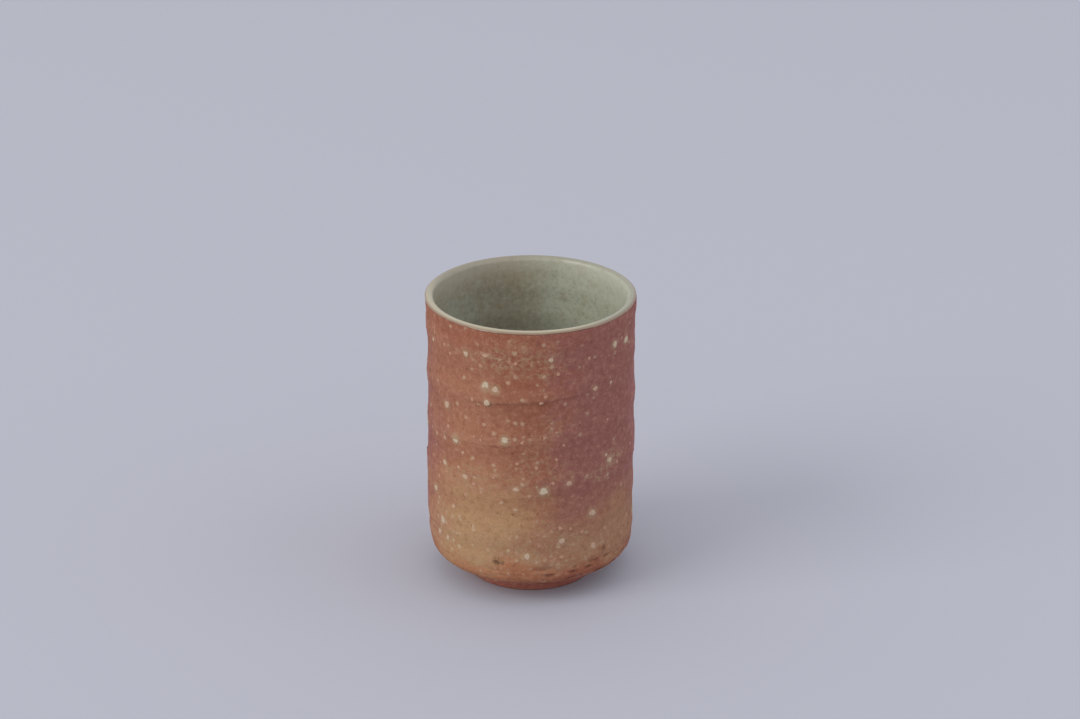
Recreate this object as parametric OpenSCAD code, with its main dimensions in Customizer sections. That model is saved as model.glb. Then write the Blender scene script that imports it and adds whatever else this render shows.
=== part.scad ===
// Tall tea cup without a handle: a wheel-thrown clay body on a turned foot ring, lined with glaze
// inside and over the lip, with feldspar stones, finer grit and iron specks seated on the bare wall.
// Millimetres. The origin is the centre of the foot on the table, +Z is up and -Y is the front.
// A bearing is an angle round the cup from the front, positive towards +X.

/* [Cup] */
// Height from the table to the top of the glazed lip
cup_h = 98; // [80:1:120]
// Diameter over the crests of the throwing rings
wall_d = 69.2; // [56:0.2:84]

/* [Wall] */
// How far the clay lip is drawn in from the crests, on the radius
lip_in = 0.2; // [0:0.1:1.5]
// Clay thickness at the lip
lip_t = 2.2; // [1.8:0.1:3.6]
// Clay thickness at the foot of the wall, measured at the crests
wall_t = 4.4; // [3.4:0.1:6]
// Clay thickness of the floor at its edge
floor_t = 5; // [4:0.1:7]
// How far the middle of the clay floor is dished
floor_dish = 0.5; // [0:0.1:1.2]
// Radius inside, where the wall turns into the floor
hollow_round = 9; // [4:0.5:12]

/* [Throwing rings] */
// Number of finger grooves up the wall
ring_count = 5; // [3:1:8]
// Depth of a groove below the crests
ring_depth = 0.3; // [0.1:0.05:0.8]
// Width of the crest between two grooves
crest_w = 0.4; // [0.2:0.1:1.5]
// Height of the plain band between the top crest and the lip's round
lip_band = 3; // [1:0.5:6]

/* [Foot] */
// Outside diameter of the foot ring where it meets the body
foot_d = 44.8; // [34:0.2:52]
// Width of the foot ring where it meets the body
foot_w = 4; // [3:0.1:6]
// Height of the foot ring
foot_h = 3.1; // [2:0.1:5]
// How much narrower the foot ring is at the table, on each side
foot_lean = 0.4; // [0:0.05:0.6]
// Bevel on the edges that touch the table
foot_bevel = 0.5; // [0.2:0.05:0.8]
// Height of the hollow under the base, above the table
foot_hollow = 5; // [4.5:0.1:6.5]
// Height at which the line of the turned underside meets the line of the wall
bevel_h = 9.2; // [7.5:0.1:12]
// Outside radius where the wall turns into the underside
corner_round = 6.5; // [3:0.25:9]

/* [Glaze] */
// Thickness of the glaze coat
glaze_t = 0.35; // [0.2:0.05:0.6]
// Where the glaze ends on the outside of the lip's round, as an angle above the level
lip_edge = 40; // [0:5:80]

/* [Stones] */
// How far a stone stands proud of the wall
stone_proud = 0.2; // [0.1:0.05:0.4]
// How far a grain of grit stands proud of the wall
grit_proud = 0.15; // [0.05:0.05:0.3]
// How far an iron speck stands proud of the wall
speck_proud = 0.1; // [0.05:0.05:0.2]
// Corners of a stone's outline
chip_corners = 7; // [5:1:9]
// How far a corner of a stone may be drawn in, as a share of its half width
chip_uneven = 0.3; // [0:0.05:0.4]
// Share of its outline that a stone keeps at its top
chip_top = 0.6; // [0.4:0.05:0.9]
// Least clay between two stones
stone_gap = 0.6; // [0.4:0.1:2]
// Width of the narrowest and the widest stone behind the front
stone_w = [1.7, 2.6]; // [1.2:0.1:3]
// Columns and rows of the stones behind the front
stone_grid = [7, 5]; // [3:1:9]
// Width of the narrowest and the widest grain of grit
grit_w = [0.9, 1.4]; // [0.7:0.1:1.6]
// Columns and rows of the grit behind the front
grit_grid = [9, 6]; // [4:1:12]

/* [Hidden] */

clay_colour = [0.62, 0.37, 0.26];
foot_colour = [0.48, 0.26, 0.19];
liner_colour = [0.55, 0.56, 0.49];
lip_colour = [0.74, 0.68, 0.56];
stone_colour = [0.83, 0.77, 0.68];
grit_colour = [0.76, 0.62, 0.50];
iron_colour = [0.22, 0.15, 0.10];

// Stones on the front, each [bearing, share of the ringed wall's height, width]
front_stones = [
    [-67, 0.92, 1.8], [-37, 0.93, 1.7], [-25, 0.94, 1.9], [11, 0.935, 1.7],
    [52, 0.935, 2.0], [64, 0.925, 2.0], [-25, 0.805, 2.4], [-19.5, 0.80, 2.2],
    [-24, 0.74, 1.9], [37, 0.78, 1.7], [-53, 0.67, 2.0], [-45, 0.54, 2.6],
    [-14, 0.585, 2.3], [-54.5, 0.41, 1.8], [-38, 0.39, 1.8], [-8, 0.375, 1.9],
    [7, 0.365, 2.5], [21, 0.39, 1.7], [48, 0.44, 2.0], [-65, 0.265, 2.1],
    [35.5, 0.23, 2.0], [-57, 0.145, 2.1], [-61.5, 0.08, 1.8], [-53, 0.075, 1.8],
    [-2, 0.075, 1.9], [17, 0.135, 1.7], [36.5, 0.08, 1.9]
];

// Grains of grit on the front, each [bearing, share of the ringed wall's height]
front_grit = [
    [-68, 0.90], [-49, 0.905], [-8, 0.92], [15, 0.87], [33, 0.915], [-33, 0.74],
    [8, 0.78], [5.5, 0.755], [49, 0.78], [-26, 0.64], [14, 0.62], [46, 0.625],
    [7.5, 0.60], [-4.5, 0.58], [18, 0.56], [-32, 0.58], [-28, 0.57], [-51, 0.58],
    [14, 0.50], [3, 0.47], [-7.5, 0.485], [-40, 0.49], [45, 0.47], [54.5, 0.415],
    [71, 0.445], [-60, 0.395], [-43, 0.42], [-32, 0.37], [-20.5, 0.415], [-4, 0.42],
    [12, 0.40], [-60, 0.335], [-38, 0.31], [-47, 0.235], [-6, 0.22], [16, 0.195],
    [45, 0.14], [29, 0.16], [22, 0.185], [-45, 0.12], [-70, 0.085], [17, 0.06]
];

// Iron specks all round, each [bearing, share of the ringed wall's height, width]
specks = [
    [-19, 0.04, 1.9], [44.5, 0.05, 1.4], [98, 0.33, 1.1], [152, 0.58, 1.3],
    [203, 0.07, 1.6], [248, 0.47, 1.0], [286, 0.76, 1.1], [-15.5, 0.036, 1.0]
];

// Bearings between which the wall is out of sight from the front
back_from = 76;
back_to = 284;
// Share of a cell of the scatter that its stone may move within
scatter_play = 0.6;
// Seeds of the scatter, and of the outlines of the stones, the grit and the specks
stone_seed = 11;
grit_seed = 29;
chip_seeds = [100, 300, 500];
// How far a cutting shape reaches past the face that it opens
overcut = 1;
// How far inside a round a line that runs into it ends, so that the two cross cleanly
blend_bite = 0.002;
// Facets of a circle of which only a shallow arc shows
arc_facets = 256;

wall_r = wall_d / 2;
foot_r = foot_d / 2;
foot_hole_r = foot_r - foot_w;
floor_z = foot_hollow + floor_t;

// Lip: the clay ends in a half round, which the glaze follows
lip_round = lip_t / 2;
lip_r = wall_r - lip_in - lip_round;
lip_z = cup_h - glaze_t - lip_round;

// Corner between the wall and the turned underside
bevel_angle = atan2(bevel_h - foot_h, wall_r - foot_r);
corner_r = wall_r - corner_round;
corner_z = bevel_h + corner_round * (1 / cos(bevel_angle) - tan(bevel_angle));

// Throwing rings: equal grooves between the corner and the plain band, each a shallow arc between crests
ring_top = lip_z - lip_band;
ring_pitch = (ring_top - corner_z) / ring_count;
groove_half = (ring_pitch - crest_w) / 2;
groove_round = (groove_half * groove_half + ring_depth * ring_depth) / (2 * ring_depth);
groove_r = wall_r - ring_depth + groove_round;

// Hollow of the cup: its wall leans out from the rounding at the floor to the lip
hollow_top_r = lip_r - lip_round;
hollow_z = floor_z + hollow_round;
hollow_r = wall_r - wall_t - hollow_round;
hollow_lean = lean_of_line(hollow_top_r - hollow_r, lip_z - hollow_z, hollow_round);

// Angle from the vertical of a line that touches a circle and passes a point beside it
function lean_of_line(across, up, radius) =
    acos(radius / norm([across, up])) - atan2(up, across);

// Height on the wall of a share of its ringed part
function ring_height(share) = corner_z + share * (ring_top - corner_z);

// Height above the middle of the groove that a height lies in
function groove_offset(z) =
    let (along = (z - corner_z) / ring_pitch)
    (along - floor(along) - 0.5) * ring_pitch;

function is_crest(z) = abs(groove_offset(z)) > groove_half;
function wall_radius(z) =
    is_crest(z) ? wall_r : groove_r - sqrt(pow(groove_round, 2) - pow(groove_offset(z), 2));
function wall_tilt(z) = is_crest(z) ? 0 : asin(groove_offset(z) / groove_round);

// Distance along the wall between two stones, and the clay left between their edges
function apart(a, b) =
    let (turn = abs(a[0] - b[0]) % 360)
    norm([min(turn, 360 - turn) * PI / 180 * wall_r, ring_height(a[1]) - ring_height(b[1])]);
function clay_between(a, b) = apart(a, b) - (a[2] + b[2]) / 2;
function is_clear(stone, others) =
    len([for (other = others) if (clay_between(stone, other) < stone_gap) other]) == 0;

// One stone in each cell of a grid over a range of bearings, moved about within its cell
function scatter(from, to, grid, width, seed) =
    let (count = grid[0] * grid[1],
         across = rands(0, 1, count, seed),
         up = rands(0, 1, count, seed + 1),
         size = rands(width[0], width[1], count, seed + 2))
    [for (row = [0:grid[1] - 1], column = [0:grid[0] - 1])
        let (i = row * grid[0] + column)
        [from + (to - from) * (column + 0.5 + (across[i] - 0.5) * scatter_play) / grid[0],
         (row + 0.5 + (up[i] - 0.5) * scatter_play) / grid[1],
         size[i]]];

function clear_of(stones, others) = [for (stone = stones) if (is_clear(stone, others)) stone];

back_stones = clear_of(scatter(back_from, back_to, stone_grid, stone_w, stone_seed), specks);
stones = concat(front_stones, back_stones);
back_grit = scatter(back_from, back_to, grit_grid, grit_w, grit_seed);
front_grit_w = rands(grit_w[0], grit_w[1], len(front_grit), grit_seed);
sized_grit = [for (i = [0:len(front_grit) - 1]) [front_grit[i][0], front_grit[i][1], front_grit_w[i]]];
grit = clear_of(concat(sized_grit, back_grit), concat(stones, specks));

// Depth of a groove's hollow under a flat back of a given width
function seat_gap(width) = groove_round - sqrt(pow(groove_round, 2) - width * width / 4);

// Outline of a chip within a given width: corners at equal turns, some drawn in
function chip_outline(width, seed) =
    let (reach = rands(1 - chip_uneven, 1, chip_corners, seed), turn = 360 / chip_corners)
    [for (i = [0:chip_corners - 1]) width / 2 * reach[i] * [cos(i * turn), sin(i * turn)]];

// The part of a stone that shows: a low chip along +Z that narrows from its flat back to its top
module chip(width, proud, seed) {
    linear_extrude(proud, scale = chip_top)
        polygon(chip_outline(width, seed));
}

// Seats chips square to the wall, each with its flat back across the hollow of its groove
module set_stones(places, proud, seed) {
    for (i = [0:len(places) - 1]) {
        place = places[i];
        z = ring_height(place[1]);
        rotate([0, 0, place[0] - 90])
            translate([wall_radius(z), 0, z])
                rotate([0, 90 + wall_tilt(z), 0])
                    translate([0, 0, seat_gap(place[2])])
                        chip(place[2], proud, seed + i);
    }
}

// Half section of the clay without its hollow
module outer_section() {
    meet = corner_round - blend_bite;
    difference() {
        union() {
            polygon([
                [0, foot_h], [foot_r, foot_h],
                [corner_r + meet * sin(bevel_angle), corner_z - meet * cos(bevel_angle)],
                [corner_r, corner_z], [wall_r, corner_z], [wall_r, ring_top],
                [lip_r + lip_round, lip_z], [0, lip_z]
            ]);
            translate([corner_r, corner_z]) circle(corner_round);
        }
        for (ring = [0:ring_count - 1])
            translate([groove_r, corner_z + (ring + 0.5) * ring_pitch])
                circle(groove_round, $fn = arc_facets);
    }
}

// Half section of the space inside, taken in by a coat and with its floor dished
module hollow_section(coat, dish) {
    round = hollow_round - coat;
    meet = round - blend_bite;
    translate([hollow_r, hollow_z]) circle(round);
    polygon([
        [0, hollow_z - round - dish], [hollow_r, hollow_z - round], [hollow_r, hollow_z],
        [hollow_r + meet * cos(hollow_lean), hollow_z - meet * sin(hollow_lean)],
        [hollow_top_r - coat / cos(hollow_lean), lip_z],
        [0, lip_z]
    ]);
}

// Hollow turned out of the underside, within the foot ring
module foot_hollow_section() {
    polygon([
        [0, foot_h - overcut], [foot_hole_r, foot_h - overcut], [foot_hole_r, foot_h],
        [foot_hole_r - (foot_hollow - foot_h), foot_hollow], [0, foot_hollow]
    ]);
}

// The lip's round out to a radius, from an angle on its outside over to the level on its inside
module lip_section(radius, edge) {
    reach = 2 * radius;
    translate([lip_r, lip_z])
        intersection() {
            circle(radius);
            polygon([
                [0, 0], [reach * cos(edge), reach * sin(edge)], [reach * cos(edge), reach],
                [-reach, reach], [-reach, 0]
            ]);
        }
}

module thrown_body() {
    color(clay_colour)
        rotate_extrude() {
            difference() {
                outer_section();
                hollow_section(0, floor_dish);
                foot_hollow_section();
            }
            lip_section(lip_round, 0);
        }
}

module foot_ring() {
    rest_r = foot_r - foot_lean;
    hole_rest_r = foot_hole_r - foot_lean;
    color(foot_colour)
        rotate_extrude()
            polygon([
                [hole_rest_r + foot_bevel, 0], [rest_r - foot_bevel, 0], [rest_r, foot_bevel],
                [foot_r, foot_h], [foot_hole_r, foot_h], [hole_rest_r, foot_bevel]
            ]);
}

module liner_glaze() {
    color(liner_colour)
        rotate_extrude()
            difference() {
                hollow_section(0, floor_dish);
                hollow_section(glaze_t, 0);
            }
}

module lip_glaze() {
    color(lip_colour)
        rotate_extrude()
            difference() {
                lip_section(lip_round + glaze_t, lip_edge);
                translate([lip_r, lip_z]) circle(lip_round);
            }
}

module feldspar_stones() {
    color(stone_colour) set_stones(stones, stone_proud, chip_seeds[0]);
}

module feldspar_grit() {
    color(grit_colour) set_stones(grit, grit_proud, chip_seeds[1]);
}

module iron_specks() {
    color(iron_colour) set_stones(specks, speck_proud, chip_seeds[2]);
}

thrown_body();
foot_ring();
liner_glaze();
lip_glaze();
feldspar_stones();
feldspar_grit();
iron_specks();
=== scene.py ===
"""Tall tea cup without a handle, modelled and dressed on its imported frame.

Lengths are metres, in the frame of the solids: the origin is the centre of the foot on the table, +Z is up
and -Y is the front. A bearing is an angle round the cup from the front in degrees, positive towards +X.
A pair of values for a change says where it starts and where it is full; for a random draw, its limits.
"""
import logging
import math
import random
from dataclasses import dataclass
from enum import Enum
from typing import Sequence, Union

import bmesh
import bpy
from mathutils import Matrix, Vector, kdtree, noise


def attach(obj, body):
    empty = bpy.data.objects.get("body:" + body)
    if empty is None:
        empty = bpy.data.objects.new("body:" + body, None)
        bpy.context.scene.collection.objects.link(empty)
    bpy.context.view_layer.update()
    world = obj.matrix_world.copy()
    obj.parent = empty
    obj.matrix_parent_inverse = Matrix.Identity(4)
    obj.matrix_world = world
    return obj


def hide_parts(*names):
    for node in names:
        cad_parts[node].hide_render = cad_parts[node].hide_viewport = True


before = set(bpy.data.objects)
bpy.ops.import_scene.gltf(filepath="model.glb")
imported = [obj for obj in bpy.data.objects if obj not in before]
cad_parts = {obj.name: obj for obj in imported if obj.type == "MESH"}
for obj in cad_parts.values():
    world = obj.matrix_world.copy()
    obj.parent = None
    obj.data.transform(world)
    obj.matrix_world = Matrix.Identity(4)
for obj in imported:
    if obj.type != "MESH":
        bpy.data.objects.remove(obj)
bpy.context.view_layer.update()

LOG = logging.getLogger("tea_cup")
MM = 0.001
BODY = "root"
PHOTO_WIDTH = 1080
PHOTO_HEIGHT = 719
NOISE_SEED = 47
SEAM_MERGE = 1e-7
STONE_MERGE = 1e-6
UP = Vector((0.0, 0.0, 1.0))

Colour = tuple[float, float, float]
Point = tuple[float, float]


def srgb(red: int, green: int, blue: int) -> Colour:
    """Turn a colour as a screen shows it into the linear values that shaders take.

    Args:
        red: Red from 0 to 255.
        green: Green from 0 to 255.
        blue: Blue from 0 to 255.

    Returns:
        The three linear values.
    """

    def linear(level: int) -> float:
        """Return one channel as a linear value."""
        share = level / 255
        return share / 12.92 if share <= 0.04045 else ((share + 0.055) / 1.055) ** 2.4

    return linear(red), linear(green), linear(blue)


def smoothstep(value: float, low: float, high: float) -> float:
    """Ease from 0 at one value to 1 at another.

    Args:
        value: The value to place.
        low: Where the step starts, which may be the larger of the two.
        high: Where the step ends.

    Returns:
        A share from 0 to 1.
    """
    share = min(1.0, max(0.0, (value - low) / (high - low)))
    return share * share * (3 - 2 * share)


def blended(first: Colour, second: Colour, share: float) -> Colour:
    """Mix two colours.

    Args:
        first: The first colour.
        second: The second colour.
        share: How much of the second shows.

    Returns:
        The mixed colour.
    """
    return tuple(a + (b - a) * share for a, b in zip(first, second))


def eased(knots: Sequence[Point], value: float) -> float:
    """Read a smooth curve through a few knots.

    Args:
        knots: Places along the curve and its values there, in rising order.
        value: Where to read it.

    Returns:
        The curve's value, which stays level past the ends.
    """
    if value <= knots[0][0]:
        return knots[0][1]
    for (z0, v0), (z1, v1) in zip(knots, knots[1:]):
        if value <= z1:
            return v0 + (v1 - v0) * smoothstep(value, z0, z1)
    return knots[-1][1]


def bearing_of(place: Vector) -> float:
    """Return the bearing of a place round the cup."""
    return math.degrees(math.atan2(place.x, -place.y))


def turn_between(first: float, second: float) -> float:
    """Return the turn from the second bearing to the first, from -180 to 180."""
    return (first - second + 180) % 360 - 180


def outward(bearing: float) -> Vector:
    """Return the level direction that points out of the cup at a bearing."""
    turn = math.radians(bearing)
    return Vector((math.sin(turn), -math.cos(turn), 0.0))


def reach_of(place: Vector) -> float:
    """Return how far a place lies from the cup's axis."""
    return math.hypot(place.x, place.y)


def away_from_axis(place: Vector) -> Vector:
    """Return the level direction from the cup's axis to a place."""
    return Vector((place.x, place.y, 0.0)) / reach_of(place)


def drawn_out(place: Vector, across: float, up: float) -> Vector:
    """Return a place in units of a length across and a length up, to read a dragged noise with."""
    return Vector((place.x / across, place.y / across, place.z / up))


def layered(place: Vector, layers: Sequence[Point]) -> float:
    """Add up noises of several sizes.

    Args:
        place: Where to read them.
        layers: The size of each noise and its height.

    Returns:
        A length.
    """
    return sum(height * noise.noise(place / size) for size, height in layers)


class Signal:
    """An output socket in a shader graph, which arithmetic extends with Math nodes."""

    def __init__(self, graph: "Graph", socket: bpy.types.NodeSocket) -> None:
        """Keep the graph and the socket."""
        self.graph = graph
        self.socket = socket

    def __add__(self, other: "Number") -> "Signal":
        """Return the sum."""
        return self.graph.math("ADD", self, other)

    def __radd__(self, other: "Number") -> "Signal":
        """Return the sum."""
        return self.graph.math("ADD", other, self)

    def __sub__(self, other: "Number") -> "Signal":
        """Return the difference."""
        return self.graph.math("SUBTRACT", self, other)

    def __rsub__(self, other: "Number") -> "Signal":
        """Return the difference from a number."""
        return self.graph.math("SUBTRACT", other, self)

    def __mul__(self, other: "Number") -> "Signal":
        """Return the product."""
        return self.graph.math("MULTIPLY", self, other)

    def __rmul__(self, other: "Number") -> "Signal":
        """Return the product."""
        return self.graph.math("MULTIPLY", other, self)

    def __gt__(self, other: "Number") -> "Signal":
        """Return 1 where it is the larger, and 0 elsewhere."""
        return self.graph.math("GREATER_THAN", self, other)

    def __lt__(self, other: "Number") -> "Signal":
        """Return 1 where it is the smaller, and 0 elsewhere."""
        return self.graph.math("LESS_THAN", self, other)


Number = Union[Signal, float, int]


class Graph:
    """Builds one material's nodes around a Principled shader."""

    def __init__(self, name: str) -> None:
        """Make the material and find its shader.

        Args:
            name: The material's name.
        """
        self.material = bpy.data.materials.new(name)
        self.material.use_nodes = True
        self.tree = self.material.node_tree
        self.shader = self.tree.nodes["Principled BSDF"]
        self.place = Signal(self, self.node("ShaderNodeTexCoord").outputs["Object"])
        split = self.node("ShaderNodeSeparateXYZ", sockets={"Vector": self.place})
        self.x = Signal(self, split.outputs["X"])
        self.y = Signal(self, split.outputs["Y"])
        self.z = Signal(self, split.outputs["Z"])

    def node(self, kind: str, settings: dict | None = None, sockets: dict | None = None) -> bpy.types.Node:
        """Add one node.

        Args:
            kind: The node's type.
            settings: Its own properties, which are set first.
            sockets: Values or signals for its inputs, by name or by number.

        Returns:
            The new node.
        """
        made = self.tree.nodes.new(kind)
        for name, value in (settings or {}).items():
            setattr(made, name, value)
        for name, value in (sockets or {}).items():
            if isinstance(value, Signal):
                self.tree.links.new(value.socket, made.inputs[name])
            else:
                made.inputs[name].default_value = value
        return made

    def math(self, operation: str, first: Number, second: Number = 0.0) -> Signal:
        """Add a Math node.

        Args:
            operation: What the node does.
            first: Its first value.
            second: Its second value, where it takes one.

        Returns:
            The result.
        """
        made = self.node("ShaderNodeMath", {"operation": operation}, {0: first, 1: second})
        return Signal(self, made.outputs[0])

    def step(self, value: Number, low: float, high: float) -> Signal:
        """Ease a value from 0 to 1 between two limits, whichever is the larger.

        Args:
            value: The value to place.
            low: Where the step starts.
            high: Where the step ends.

        Returns:
            A share from 0 to 1.
        """
        ends = (0.0, 1.0) if low < high else (1.0, 0.0)
        made = self.node(
            "ShaderNodeMapRange",
            {"interpolation_type": "SMOOTHSTEP"},
            {"Value": value, "From Min": min(low, high), "From Max": max(low, high),
             "To Min": ends[0], "To Max": ends[1]},
        )
        return Signal(self, made.outputs["Result"])

    def stretched(self, across: float, up: float) -> Signal:
        """Return the place on the cup counted in units of a length across and a length up.

        Args:
            across: The unit for X and Y.
            up: The unit for Z.

        Returns:
            A vector to read a pattern with.
        """
        made = self.node(
            "ShaderNodeMapping", None,
            {"Vector": self.place, "Scale": (1 / across, 1 / across, 1 / up)},
        )
        return Signal(self, made.outputs["Vector"])

    def warped(self, size: float, amount: float) -> Signal:
        """Return the place on the cup pushed about by a noise.

        Args:
            size: The size of the noise's patches.
            amount: How far it pushes.

        Returns:
            A vector to read a pattern with.
        """
        push = self.node("ShaderNodeTexNoise", None, {"Vector": self.place, "Scale": 1 / size, "Detail": 2.0})
        made = self.node(
            "ShaderNodeVectorMath", {"operation": "MULTIPLY_ADD"},
            {0: Signal(self, push.outputs["Color"]), 1: (amount, amount, amount), 2: self.place},
        )
        return Signal(self, made.outputs["Vector"])

    def cloud(
        self, size: float, detail: float = 3.0, rough: float = 0.55, place: Signal | None = None
    ) -> Signal:
        """Add a noise pattern.

        Args:
            size: The size of its patches, or 1 with a place of its own units.
            detail: How many finer layers it has.
            rough: How strong the finer layers are.
            place: Where to read it, if not on Object coordinates.

        Returns:
            Values around 0.5.
        """
        made = self.node(
            "ShaderNodeTexNoise", None,
            {"Vector": place or self.place, "Scale": 1 / size, "Detail": detail, "Roughness": rough},
        )
        return Signal(self, made.outputs["Fac"])

    def cells(self, size: float, smooth: bool = False, place: Signal | None = None) -> tuple[Signal, Signal]:
        """Add a cell pattern.

        Args:
            size: The distance between cells.
            smooth: Whether the cells run into each other.
            place: Where to read it, if not on Object coordinates.

        Returns:
            The distance from each cell's centre, and a random number for each cell.
        """
        made = self.node(
            "ShaderNodeTexVoronoi", {"feature": "SMOOTH_F1" if smooth else "F1"},
            {"Vector": place or self.place, "Scale": 1 / size, "Randomness": 1.0},
        )
        split = self.node("ShaderNodeSeparateColor", None, {"Color": Signal(self, made.outputs["Color"])})
        return Signal(self, made.outputs["Distance"]), Signal(self, split.outputs["Red"])

    def attribute(self, name: str, output: str = "Fac") -> Signal:
        """Return a value or a colour that the mesh carries.

        Args:
            name: The attribute's name.
            output: "Fac" for a value, "Color" for a colour.

        Returns:
            What the mesh holds at each point.
        """
        made = self.node("ShaderNodeAttribute", {"attribute_name": name})
        return Signal(self, made.outputs[output])

    def mix(self, share: Number, first: Union[Signal, Colour], second: Union[Signal, Colour]) -> Signal:
        """Mix two colours.

        Args:
            share: How much of the second shows.
            first: The first colour.
            second: The second colour.

        Returns:
            The mixed colour.
        """
        colours = [c if isinstance(c, Signal) else (*c, 1.0) for c in (first, second)]
        made = self.node(
            "ShaderNodeMix", {"data_type": "RGBA", "clamp_factor": True},
            {0: share, 6: colours[0], 7: colours[1]},
        )
        return Signal(self, made.outputs[2])

    def bump(self, height: Signal, distance: float) -> None:
        """Feed the shader's normal with a bump.

        Args:
            height: The height of the surface, from 0 to about 1.
            distance: What a height of 1 stands for.
        """
        made = self.node("ShaderNodeBump", None, {"Height": height, "Distance": distance, "Strength": 1.0})
        self.tree.links.new(made.outputs["Normal"], self.shader.inputs["Normal"])

    def feed(self, name: str, value: Union[Number, Colour]) -> None:
        """Set or link one of the shader's inputs.

        Args:
            name: The input's name.
            value: A signal, a number or a colour.
        """
        socket = self.shader.inputs[name]
        if isinstance(value, Signal):
            self.tree.links.new(value.socket, socket)
        elif isinstance(value, tuple):
            socket.default_value = (*value, 1.0)
        else:
            socket.default_value = value


class Slot(Enum):
    """Finish slots of the record."""

    CLAY = "bare_clay"
    FOOT = "foot_clay"
    LINER = "liner_glaze"
    LIP = "lip_glaze"
    STONE = "feldspar"
    GRIT = "grit"
    IRON = "iron"


class Flash(Enum):
    """Colours that the kiln left on the bare clay."""

    ORANGE = srgb(162, 107, 82)
    BROWN = srgb(152, 96, 73)
    PLUM = srgb(148, 94, 86)
    TAN = srgb(172, 121, 92)
    ROSE = srgb(156, 104, 88)
    RUST = srgb(150, 88, 66)
    OCHRE = srgb(181, 143, 103)
    KHAKI = srgb(166, 122, 92)
    EMBER = srgb(178, 114, 77)
    WINE = srgb(168, 97, 87)
    MAUVE = srgb(162, 104, 103)


@dataclass(frozen=True)
class Patch:
    """A soft oval patch on the wall."""

    bearing: float
    height: float
    reach: float
    tall: float
    strength: float
    edge: float = 1.4
    core: float = 0.3

    def share(self, bearing: float, height: float) -> float:
        """Return how much of the patch shows at a place.

        Args:
            bearing: Where on the wall.
            height: The height there.

        Returns:
            A share from 0 to the patch's strength.
        """
        up = (height - self.height) / self.tall
        if abs(up) > self.edge:
            return 0.0
        far = math.hypot(turn_between(bearing, self.bearing) / self.reach, up)
        return self.strength * smoothstep(far, self.edge, self.core)


FLASH_AND_SHADE_PATCHES = (
    (Flash.RUST, Patch(-35, 95 * MM, 62, 5 * MM, 0.6)),
    (Flash.RUST, Patch(3, 82 * MM, 18, 12 * MM, 0.6)),
    (Flash.TAN, Patch(-36, 58 * MM, 22, 20 * MM, 0.35)),
    (Flash.ROSE, Patch(-66, 52 * MM, 14, 32 * MM, 0.6)),
    # This plum patch along the left outline is painted shade, a darker band at the edge of the wall.
    (Flash.PLUM, Patch(-82, 52 * MM, 15, 40 * MM, 1.0)),
    (Flash.MAUVE, Patch(84, 56 * MM, 13, 42 * MM, 0.8)),
    (Flash.OCHRE, Patch(-30, 26 * MM, 39, 19 * MM, 1.0)),
    (Flash.TAN, Patch(-66, 26 * MM, 16, 20 * MM, 0.6)),
    (Flash.KHAKI, Patch(42, 18 * MM, 58, 19 * MM, 0.9)),
    (Flash.OCHRE, Patch(-50, 16 * MM, 24, 8 * MM, 0.7)),
    (Flash.EMBER, Patch(-8, 11.5 * MM, 52, 5.5 * MM, 0.65)),
    (Flash.RUST, Patch(42, 8 * MM, 56, 6.5 * MM, 0.9)),
    (Flash.EMBER, Patch(-70, 9 * MM, 34, 6 * MM, 0.35)),
    (Flash.WINE, Patch(0, 1 * MM, 180, 4 * MM, 0.8)),
    (Flash.OCHRE, Patch(172, 30 * MM, 50, 17 * MM, 0.8)),
    (Flash.TAN, Patch(-122, 38 * MM, 34, 20 * MM, 0.6)),
    (Flash.RUST, Patch(-140, 76 * MM, 40, 20 * MM, 0.5)),
    (Flash.KHAKI, Patch(112, 24 * MM, 30, 12 * MM, 0.6)),
)

GRAIN_PATCHES = (
    Patch(-10, 88.5 * MM, 34, 6.5 * MM, 1.0),
    Patch(6, 30.8 * MM, 9, 0.9 * MM, 1.0),
    Patch(48, 47 * MM, 13, 4.5 * MM, 0.9),
    Patch(17, 23 * MM, 14, 6 * MM, 0.7),
    Patch(0, 48 * MM, 22, 8 * MM, 0.6),
    Patch(-20, 20 * MM, 40, 9 * MM, 0.7),
    Patch(-36, 44 * MM, 18, 4 * MM, 0.7),
    Patch(10, 62 * MM, 14, 6 * MM, 0.5),
    Patch(-58, 22 * MM, 16, 9 * MM, 0.6),
    Patch(38, 20 * MM, 24, 7 * MM, 0.6),
    Patch(120, 80 * MM, 34, 7 * MM, 0.8),
    Patch(165, 30 * MM, 40, 10 * MM, 0.7),
    Patch(-125, 60 * MM, 30, 9 * MM, 0.7),
)


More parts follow.
